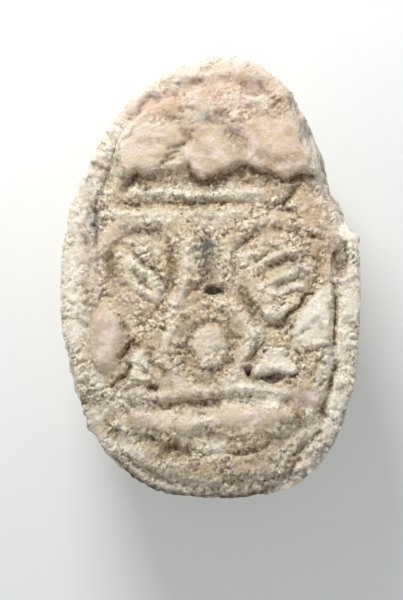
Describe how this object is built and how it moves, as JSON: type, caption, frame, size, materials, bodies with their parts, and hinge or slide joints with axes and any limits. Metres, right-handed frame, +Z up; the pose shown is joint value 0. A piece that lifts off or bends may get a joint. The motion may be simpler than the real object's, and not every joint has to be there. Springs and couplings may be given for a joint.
{
  "type": "scarab amulet",
  "caption": "Oval scarab amulet lying on its domed beetle back, with a flat carved seal face up, a chipped rim and a lengthwise string hole.",
  "frame": {"origin": "on the ground, below the middle of the scarab's bounding box, which is the middle of the oval base to within 0.1 mm", "axes": "+Y towards the beetle's head end, +Z up out of the carved seal face, +X to the right when the seal face is looked at with the head end at the top"},
  "size_m": [0.0112, 0.0166, 0.0078],
  "materials": {
    "stone": "dull worn glazed soapstone, cream to brown, with pinkish burial crust"
  },
  "bodies": {
    "root": {"scarab": "stone"}
  },
  "joints": []
}
